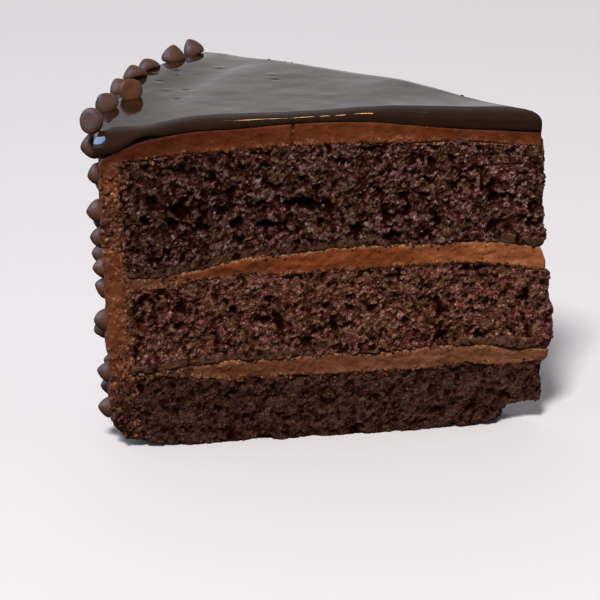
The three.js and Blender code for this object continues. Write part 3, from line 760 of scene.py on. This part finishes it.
def coatLap(distance, height, turn):  # 0 at the sponge's border to 1 where the lapping cream ends
    over = (cake["radius"] - coat["thickness"] - distance) / lapAside(height)
    under = (layerHeight("spongeTop", distance, turn) - height) / coat["lapTop"]
    return min(1.0, over, under)


def crumbMixed(distance, height, turn, ragged):  # share of crumb where the cream meets the sponge
    aside = ease(-2.4, 0.6, cake["radius"] - coat["thickness"] - distance + 1.6 * ragged)
    under = ease(-0.2, 0.4, (layerHeight("spongeTop", distance, turn) - height) / coat["lapTop"] + 0.4 * ragged)
    return 0.8 * min(aside, under)


def cutCrumbliness(height):
    return upRow(coat["crumbliness"], height)


def cutRelief(place, distance, height, turn, crumbly):  # how far the cut cream stands out, and how cracked it is
    smear = wobble(place.x, place.y, place.z * 1.7, 5.0, 3) + 0.6 * wobble(*place, 1.3, 4) - 0.3
    lap = max(coatLap(distance, height, turn), 0.0)
    move = coat["cutSmear"] * smear + mix(coat["lapOut"], -coat["lapIn"], lap)
    coarse, tone = granule(place, coat["crumbGrain"])
    move += crumbly * coat["crumbHeight"] * (coarse * (0.3 + 0.7 * tone) + 0.7 * wobble(*place, 2.2, 6) - 0.5)
    crack, cracked = coat["crack"], 0.0
    if turn < 0 and height > crack["from"]:
        aside = abs(distance - crack["distance"] - 0.5 * wobble(place.z, 0, 0, 2.5, 8))
        cracked = 1 - ease(0, crack["width"], aside)
    return move - crack["depth"] * cracked, cracked


def makeCoat(material):
    bm, sheet = thickSheet(coat["alongSteps"], coat["acrossSteps"], coat["rows"])
    toneLayer, crumbLayer, paleLayer, orangeLayer, paintedShadeLayer = vertexValues(
        bm, "toneShare", "crumbShare", "paleShare", "orangeShare", "paintedShadeShare")
    for vert in bm.verts:
        share, across, through = (vert[layer] for layer in sheet)
        turn = mix(-halfCut, halfCut, across)
        outer, inner = coatOuter(share, turn), coatInner(share, turn)
        distance, height = mix(inner[0], outer[0], through), mix(inner[1], outer[1], through)
        point = onCake(distance, turn, height)
        point.x += tipShift(distance, height) * mm
        place = point / mm
        onSide = ease(*coat["sideRun"], distance) * (1 - ease(*coat["sideHeights"], height))
        crumbly, cracked = onSide * cutCrumbliness(height), 0.0
        if min(across, 1 - across) < 0.001:
            move, cracked = cutRelief(place, distance, height, turn, crumbly)
            point += cutOutward(turn) * move * mm
        vert.co = insideBox(point)
        tone = mix(0.25 + 0.75 * (1 - distance / cake["radius"]), 0.03, onSide)
        vert[toneLayer] = tone + 0.1 * wobble(*place, 7.0, 12)
        mixed = crumbMixed(distance, height, turn, wobble(*place, 1.6, 13))
        atCut = ease(1.5, 0.0, distance * math.sin(halfCut - abs(turn)))
        smeared = mix(0.25, 1, atCut) * crumbly * (1 + 0.5 * wobble(*place, 3.0, 16))
        # the crack takes the crumb's dark colour: painted shade in the crack
        vert[crumbLayer] = max(mixed, cracked, smeared)
        vert[orangeLayer] = upRow(coat["orange"], height) * onSide
        # painted shade: the cut cream darkens towards the glaze above it, most near the rim
        under = ease(0.35, 1.0, through + 0.15 * wobble(*place, 4.0, 18)) * (1 - onSide)
        vert[paintedShadeLayer] = under * mix(0.35, 1, ease(72, 95, distance))
        grainy = 0.42 + 0.2 * ease(45, 20, distance) - 0.1 * ease(85, 100, distance) + 0.35 * wobble(*place, 1.6, 17)
        vert[paleLayer] = (1 - ease(0.1, max(grainy, 0.2), through)) * (1 - onSide)
    bmesh.ops.recalc_face_normals(bm, faces=bm.faces)
    finishPiece("creamCoatSpread", bm, material, ["cream_coat"])


makeCoat(creamMaterial("coatCream", coat["tones"]))


# Glaze: poured over the top, rolled over the edges, with a lip down the rim
glaze = {
    "overhang": 1.1,
    "sink": 0.6, "footSink": 0.25,  # mm that its underside and the wall's foot lie in the cream
    "cutInset": 3.4, "rimInset": 5.0,  # how far in the flat top begins
    "alongSteps": 215, "acrossSteps": 150, "rows": 16,
    "lipHeight": 78.4, "lipWave": 2.2, "lipGrain": 17.0, "lipReach": 4,
    "wallFrom": 0.2,  # share of the rows that turn in under the wall
    "tuckIn": 0.2, "tuckOn": 0.6,  # how far in they go at first, and how much further
    # inset from the foot of the wall to the top
    "profile": (0.3, 0.12, 0.03, 0.0, 0.0, 0.0, 0.0, 0.01, 0.025, 0.055, 0.11, 0.19, 0.31, 0.51, 1.0),
    "gather": 1.5,  # how the rows gather towards the top
    "ripple": 0.16, "wander": 0.3,
    "drip": {"distance": 111.5, "reach": 4.5, "out": 1.0, "fall": 0.5},  # run at the near corner
    "notch": {"distance": 103.5, "reach": 3.5, "rise": 1.3},  # where the foot rises beside it
    "tipLift": 0.6, "footSag": {"distance": 36.0, "reach": 14.0, "fall": 0.3},
    # burst bubbles: distance, angle from the near cut, half width, and rise or depth below 0
    "bubbles": ((105.3, 30.2, 0.8, -0.18), (103.6, 28.4, 0.6, 0.14), (105.2, 23.8, 0.8, -0.17),
                (96.0, 20.2, 0.9, -0.18), (96.1, 14.4, 0.8, -0.16), (97.1, 35.3, 1.1, 0.18),
                (76.3, 29.9, 0.8, -0.16), (101.5, 19.8, 0.8, 0.13), (79.5, 33.5, 1.1, 0.12),
                (109.5, 27.5, 0.8, -0.18)),
    "shades": ((0.3, (0.018, 0.007, 0.004)), (0.7, (0.030, 0.013, 0.006))), "shadeGrain": 9.0,
    "roughness": (0.05, 0.12), "roughGrain": 4.0, "dimpleGrain": 5.0, "dimpleDepth": 0.4,
}


def bubbleRelief(x, y):
    relief = 0.0
    for distance, angle, width, height in glaze["bubbles"]:
        atX, atY = onPlan(distance, math.radians(angle) - halfCut)
        aside = ((x - atX) / (1.6 * width)) ** 2 + ((y - atY) / width) ** 2
        if aside < 6:
            relief += height * math.exp(-aside * 1.5)
    return relief


def glazeRelief(x, y, distance):
    relief = glaze["ripple"] * (wobble(x, y, 0, 16.0, 31) + 0.4 * wobble(x, y, 0, 6.0, 32))
    return relief + (bubbleRelief(x, y) + glaze["tipLift"] * (1 - ease(8, 22, distance)))


def lipHeight(turn):
    x, y = onPlan(cake["radius"], turn)
    return glaze["lipHeight"] + glaze["lipWave"] * wobble(x, y, 0, glaze["lipGrain"], 30)


def glazeTopPoint(share, across):
    start = glaze["cutInset"] / math.sin(halfCut) + 0.05
    distance = mix(start, cake["radius"] + glaze["overhang"] - glaze["rimInset"], share)
    reach = halfCut - math.asin(min(1, glaze["cutInset"] / distance))
    return distance, mix(-reach, reach, across)


def glazeEdgePoint(share, across):  # outline of the glaze outside the flat top's edge point
    distance, _ = glazeTopPoint(share, across)
    if share > 0.999:
        return Vector(onPlan(cake["radius"] + glaze["overhang"], mix(-halfCut, halfCut, across)))
    if share < 0.001:
        swing = mix(-1, 1, across) * (math.pi / 2 - halfCut)
        rounding = cake["tipRounding"]
        return Vector((-rounding / math.sin(halfCut) + rounding * math.cos(swing), rounding * math.sin(swing)))
    onCut = math.sqrt(max(0.0, distance ** 2 - glaze["cutInset"] ** 2))
    return Vector(onPlan(onCut, -halfCut if across < 0.5 else halfCut))


def glazeFoot(distance, turn):
    foot = layerHeight("creamTop", min(distance, cake["radius"]), turn) - glaze["footSink"]
    if turn < 0:
        foot -= glaze["drip"]["fall"] * hump(distance, glaze["drip"])
        foot += glaze["notch"]["rise"] * hump(distance, glaze["notch"])
        foot -= glaze["footSag"]["fall"] * hump(distance, glaze["footSag"])
    rimShare = ease(cake["radius"] - glaze["lipReach"], cake["radius"], distance)
    return mix(foot, min(foot, lipHeight(turn)), rimShare)


def glazeWall(share, across, through, inner, top, under):
    edge = glazeEdgePoint(share, across)
    distance, turn = edge.length, math.atan2(edge.y, -edge.x)
    foot = glazeFoot(distance, turn)
    wallFrom = glaze["wallFrom"]
    if through <= wallFrom:
        back = 1 - through / wallFrom
        return edge.lerp(inner, glaze["tuckIn"] + glaze["tuckOn"] * back), mix(foot, under, back)
    level = 1 - (1 - (through - wallFrom) / (1 - wallFrom)) ** glaze["gather"]
    inset = along(glaze["profile"], level)
    plan, height = edge.lerp(inner, inset if level > 0.4 else inset * 0.4), mix(foot, top, level)
    if 0.001 < share < 0.999:  # over the cuts
        out = glaze["wander"] * wobble(edge.x, edge.y, height * 0.6, 6.0, 33) * math.sin(level * math.pi)
        if turn < 0:
            bulge = (1 - ease(0.35, 0.8, level)) * ease(0.0, 0.15, level)
            out += glaze["drip"]["out"] * hump(distance, glaze["drip"]) * bulge
        plan = plan + cutOutward(turn).xy * out
    return plan, height


def makeGlaze(material):
    bm, sheet = thickSheet(glaze["alongSteps"], glaze["acrossSteps"], glaze["rows"])
    for vert in bm.verts:
        share, across, through = (vert[layer] for layer in sheet)
        distance, turn = glazeTopPoint(share, across)
        plan = inner = Vector(onPlan(distance, turn))
        top = layerHeight("glazeTop", distance, turn) + glazeRelief(inner.x, inner.y, distance)
        under = layerHeight("creamTop", distance, turn) - glaze["sink"]
        height = top if through > 0.5 else under
        if 0.001 < through < 0.999:
            plan, height = glazeWall(share, across, through, inner, top, under)
        x = cake["centre"][0] + plan.x + tipShift(plan.length, height)
        vert.co = Vector((x, cake["centre"][1] + plan.y, height)) * mm
    bmesh.ops.recalc_face_normals(bm, faces=bm.faces)
    for vert in bm.verts:
        vert.co = insideBox(vert.co)
    finishPiece("pouredGlaze", bm, material, ["glaze"])


def glazeMaterial():
    material, tree, shader = startMaterial("pouredGlaze", {"IOR": 1.5})
    place = objectPlace(tree)
    wireShader(tree, shader, rampOf(tree, grainTexture(tree, place, glaze["shadeGrain"], 3.0), glaze["shades"]),
               mapped(tree, grainTexture(tree, place, glaze["roughGrain"], 4.0), 0.35, 0.7, *glaze["roughness"]),
               bumpFrom(tree, grainTexture(tree, place, glaze["dimpleGrain"], 2.0), 0.15, glaze["dimpleDepth"]))
    return material


makeGlaze(glazeMaterial())


# Chocolate chips on the rim of the glaze and down the side of the coat
chips = {
    "radius": 3.15, "height": 4.3, "segments": 16,
    "profile": ((0.0, 0.015), (0.5, 0.01), (0.86, 0.0), (0.97, 0.07), (1.02, 0.2), (0.97, 0.36), (0.84, 0.52),
                (0.67, 0.68), (0.48, 0.81), (0.3, 0.91), (0.14, 0.975), (0.0, 1.0)),
    # angle from the near cut, distance of the base, its height, aim (out, along the rim, up), width, length
    "rim": ((1.4, 116.9, 87.2, (-0.67, 0.71, -0.21), 1.08, 1.08),
            (5, 115.2, 78.9, (0.93, 0.32, -0.19), 1.06, 1.06),
            (11.2, 113, 85.8, (0.41, -0.44, 0.8), 1.03, 1.03),
            (13.5, 115.3, 81.4, (1, 0.2, 0.3), 1, 1),
            (20.4, 113.4, 85, (0.55, 0.13, 0.83), 1, 1),
            (14.7, 108, 88.4, (0.49, 0.86, -0.13), 1, 1),
            (25.2, 113, 86.1, (0.45, 0.44, 0.78), 1.05, 1.05),
            (30, 113, 85.9, (0.61, 0.33, 0.72), 1.05, 1.05),
            (36, 112.6, 86.7, (-0.01, 0.07, 1), 1.03, 1.03),
            (41.4, 112.4, 86, (0.45, -0.1, 0.89), 0.9, 1.17)),
    # beside the near cut: angle from it and height; the rest are strewn
    "edge": ((1.9, 73.2), (3.4, 62.6), (2.2, 56.2), (4.1, 47.0), (5.6, 40.4), (2.4, 34.0), (7.2, 29.2),
             (2.6, 19.6), (6.2, 13.6), (3.1, 9.6)),
    "seed": 71, "tries": 900, "count": 46, "spacing": 9.5, "lowest": 8, "highest": 73, "margin": 0.03,
    # the strewn ones: mm in the cream, size, and how far they aim along the side and up
    "sunk": (0.4, 1.3), "scale": (0.85, 1.05), "sideways": (-0.5, 0.5), "upwards": (-0.4, 0.5),
    "uneven": 0.035, "unevenGrain": 2.6, "spin": 2.4,
    "gloss": 0.22, "roughness": (0.4, 0.6), "shadeGrain": 3.0, "roughGrain": 1.2, "dimpleGrain": 0.7,
    "coolShades": ((0.3, (0.072, 0.035, 0.025)), (0.7, (0.102, 0.050, 0.037))),
    "warmShades": ((0.3, (0.090, 0.037, 0.019)), (0.7, (0.130, 0.056, 0.029))),
}


def strewing(seed):  # the same random numbers as the solids' own
    state = seed
    while True:
        state = (state * 1664525 + 1013904223) % 2 ** 32
        yield state / 2 ** 32


def sideChipPlaces():
    places = [(math.radians(angle), height) for angle, height in chips["edge"]]
    shares = strewing(chips["seed"])
    for _ in range(chips["tries"]):
        if len(places) >= chips["count"]:
            break
        angle = mix(chips["margin"], cake["cutAngle"] - chips["margin"], next(shares))
        height = mix(chips["lowest"], chips["highest"], next(shares))
        if all(math.hypot((angle - a) * cake["radius"], height - h) > chips["spacing"] for a, h in places):
            places.append((angle, height))
    return places


def oneChip():
    bm = bmesh.new()
    verts = [bm.verts.new((out * chips["radius"], 0, up * chips["height"])) for out, up in chips["profile"]]
    edges = [bm.edges.new(pair) for pair in zip(verts, verts[1:])]
    bmesh.ops.spin(bm, geom=verts + edges, axis=(0, 0, 1), cent=(0, 0, 0), angle=math.tau,
                   steps=chips["segments"], use_merge=True)
    bmesh.ops.remove_doubles(bm, verts=bm.verts, dist=1e-4)
    bmesh.ops.recalc_face_normals(bm, faces=bm.faces)
    mesh = bpy.data.meshes.new("oneChip")
    bm.to_mesh(mesh)
    bm.free()
    return mesh


def chipPlaces():  # point, turn, aim, width and length of every chip
    places = []
    for angle, distance, height, aim, wide, tall in chips["rim"]:
        turn = math.radians(angle) - halfCut
        places.append((onCake(distance, turn, height), turn, aim, wide, tall))
    shares = strewing(chips["seed"] + 1)
    for angle, height in sideChipPlaces():
        turn = angle - halfCut
        sunk = mix(*chips["sunk"], next(shares))
        base = onCake(cake["radius"] + sideRelief(turn, height) - sunk, turn, height)
        aim = (1, mix(*chips["sideways"], next(shares)), mix(*chips["upwards"], next(shares)))
        scale = mix(*chips["scale"], next(shares))
        places.append((base, turn, aim, scale, scale))
    return places


def makeChips(material):
    bm = bmesh.new()
    toneLayer, = vertexValues(bm, "chipTone")
    chipMesh = oneChip()
    pick = random.Random(chips["seed"])
    for count, (base, turn, (out, sideways, up), wide, tall) in enumerate(chipPlaces()):
        aim = wayOnCake(out, turn, up)
        aim += wayOnCake(sideways, turn + math.pi / 2, 0)
        turned = Vector((0, 0, 1)).rotation_difference(aim.normalized()).to_matrix().to_4x4()
        spun = Matrix.Rotation(count * chips["spin"], 4, "Z")
        start = len(bm.verts)
        bm.from_mesh(chipMesh)
        bm.verts.ensure_lookup_table()
        new = bm.verts[start:]
        tone = pick.random()
        for vert in new:  # each chip a little uneven
            place = vert.co + Vector((count * 9.0, 0, 0))
            vert.co *= 1 + chips["uneven"] * wobble(*place, chips["unevenGrain"], 50)
            vert[toneLayer] = tone
        size = Matrix.Diagonal((wide * mm, wide * mm, tall * mm, 1))
        bmesh.ops.transform(bm, matrix=Matrix.Translation(base) @ turned @ spun @ size, verts=new)
        for vert in new:
            vert.co = insideBox(vert.co)
    finishPiece("chocolateChips", bm, material, ["glaze", "cream_coat"])


def chipMaterial():
    material, tree, shader = startMaterial("chipChocolate", {"Specular IOR Level": chips["gloss"]})
    place = objectPlace(tree)
    grain = grainTexture(tree, place, chips["shadeGrain"], 3.0)
    cool, warm = (rampOf(tree, grain, chips[key]) for key in ("coolShades", "warmShades"))
    wireShader(tree, shader, blendColour(tree, attribute(tree, "chipTone"), cool, warm),
               mapped(tree, grainTexture(tree, place, chips["roughGrain"], 4.0), 0.3, 0.7, *chips["roughness"]),
               bumpFrom(tree, grainTexture(tree, place, chips["dimpleGrain"], 3.0), 0.4, 0.15))
    return material


makeChips(chipMaterial())


# Loose crumbs on the cuts, along the layers' edges, round the coat's foot and on the glaze
crumbs = {
    "count": 4096,  # a power of two: the first crumb is doubled up to it
    "smallest": 0.18, "largest": 0.58,  # mm, half across
    "alongEdges": 1100, "onCutEdge": 1100, "roundFoot": 260,
    "edgeRun": (4, 108), "edgeSpread": 0.8,  # mm along the layers' edges, and above or below them
    "edges": ("spongeTop", "spongeTop", "upperFillingTop", "upperFillingBottom", "lowerFillingTop",
              "lowerFillingBottom"),
    "coatRun": (108.2, 114.6), "coatHeights": (4, 78), "coatMargin": 0.4,  # on the cut edge of the side
    "creamyBand": (34, 56), "creamyAbove": 68,  # where crumbs beside the side's cream are creamy
    "footHeight": 3.2, "footSpread": 5,
    "onGlaze": ((95.9, 43.9), (90.9, 44.0), (90.2, 43.8), (85.0, 44.0), (82.9, 44.0), (26.0, 40.5)),
    "edgeDrop": 0.35,  # how far the glaze has rounded off below them
    "seed": 5, "uneven": 0.75, "unevenGrain": 0.8,
    "spongeShades": ((0.0, (0.051, 0.019, 0.013)), (0.45, (0.105, 0.036, 0.024)), (0.8, (0.156, 0.054, 0.037)),
                     (1.0, (0.192, 0.090, 0.051))),
    "creamShades": ((0.0, (0.120, 0.035, 0.014)), (0.6, (0.252, 0.084, 0.036)), (1.0, (0.372, 0.168, 0.084))),
    "speck": (0.012, 0.005, 0.003), "speckGrain": 0.3, "roughness": (0.38, 0.7),
}


def siteAtCut(pick, side, distance, height, proud):
    lift = cutOutward(side) * pick.uniform(-0.5, proud) * mm
    return onCake(distance, side * halfCut, height) + lift


def addEdgeSites(pick):
    for _ in range(crumbs["alongEdges"]):
        side = pick.choice((-1, 1))
        distance = pick.uniform(*crumbs["edgeRun"])
        layer = pick.choice(crumbs["edges"])
        height = layerHeight(layer, distance, side * halfCut) + pick.gauss(0, crumbs["edgeSpread"])
        site = siteAtCut(pick, side, distance, height, 0.0)
        crumbSites.append((site, cutOutward(side), pick.choice((0.0, 0.15, 0.8, 1.0))))
    for _ in range(crumbs["onCutEdge"]):
        side = pick.choice((-1, 1))
        distance, height = pick.uniform(*crumbs["coatRun"]), pick.uniform(*crumbs["coatHeights"])
        reach = coatSide(side * halfCut, height) - crumbs["coatMargin"]
        if pick.random() < cutCrumbliness(height) and distance < reach:
            site = siteAtCut(pick, side, distance, height, 0.1)
            if height > crumbs["creamyAbove"] or crumbs["creamyBand"][0] < height < crumbs["creamyBand"][1]:
                creamy = pick.uniform(0.5, 1.0)
            else:
                creamy = pick.uniform(0.0, 0.6) * ease(10, 25, height)
            crumbSites.append((site, cutOutward(side), creamy))
    for _ in range(crumbs["roundFoot"]):
        turn = pick.uniform(-halfCut, halfCut)
        height = crumbs["footHeight"] + abs(pick.gauss(0, crumbs["footSpread"]))
        site = onCake(coatSide(turn, height) + 0.05, turn, height)
        crumbSites.append((site, wayOnCake(1, turn, 0), pick.uniform(0, 0.15)))
    for distance, angle in crumbs["onGlaze"]:
        turn = math.radians(angle) - halfCut
        site = onCake(distance, turn, layerHeight("glazeTop", distance, turn) - crumbs["edgeDrop"])
        crumbSites.append((site, Vector((0, 0, 1)), 0.0))


def makeCrumbs(material):
    bm = bmesh.new()
    toneLayer, creamLayer = vertexValues(bm, "crumbTone", "creamShare")
    bmesh.ops.create_icosphere(bm, subdivisions=1, radius=1.0)
    each = len(bm.verts)
    pick = random.Random(crumbs["seed"])
    addEdgeSites(pick)
    pick.shuffle(crumbSites)
    while len(bm.verts) < each * min(crumbs["count"], len(crumbSites)):
        bmesh.ops.duplicate(bm, geom=bm.verts[:] + bm.edges[:] + bm.faces[:])
    bm.verts.ensure_lookup_table()
    made = min(len(bm.verts) // each, len(crumbSites))
    for count, (site, outward, creamy) in enumerate(crumbSites[:made]):
        size = mix(crumbs["smallest"], crumbs["largest"], pick.random() ** 2)
        stretch = Vector((pick.uniform(0.7, 1.2), pick.uniform(0.7, 1.2), pick.uniform(0.6, 1.0))) * size * mm
        angle = pick.uniform(0, math.tau)
        turned = Matrix.Rotation(angle, 3, Vector([pick.gauss(0, 1) for _ in range(3)]))
        tone = pick.random()
        for vert in bm.verts[count * each:(count + 1) * each]:
            lumpy = vert.co * (1 + crumbs["uneven"] * wobble(*vert.co, crumbs["unevenGrain"], count))
            vert.co = site + outward * size * 0.05 * mm + turned @ Vector(lumpy[i] * stretch[i] for i in range(3))
            vert.co = insideBox(vert.co)
            vert[toneLayer] = tone
            vert[creamLayer] = creamy
    bmesh.ops.delete(bm, geom=bm.verts[made * each:], context="VERTS")
    finishPiece("looseCrumbs", bm, material, [], smooth=False)


def looseCrumbMaterial():
    material, tree, shader = startMaterial("looseCrumb", {"Specular IOR Level": 0.2})
    place, tone = objectPlace(tree), attribute(tree, "crumbTone")
    spongeShade, creamShade = (rampOf(tree, tone, crumbs[key]) for key in ("spongeShades", "creamShades"))
    colour = blendColour(tree, attribute(tree, "creamShare"), spongeShade, creamShade)
    speck = grainTexture(tree, place, crumbs["speckGrain"], 3.0, 0.6)
    colour = blendColour(tree, mapped(tree, speck, 0.35, 0.6, 0.6, 0), colour, crumbs["speck"])
    roughness = mapped(tree, speck, 0.3, 0.7, *crumbs["roughness"])
    wireShader(tree, shader, colour, roughness, bumpFrom(tree, speck, 0.6, 0.2))
    return material


makeCrumbs(looseCrumbMaterial())
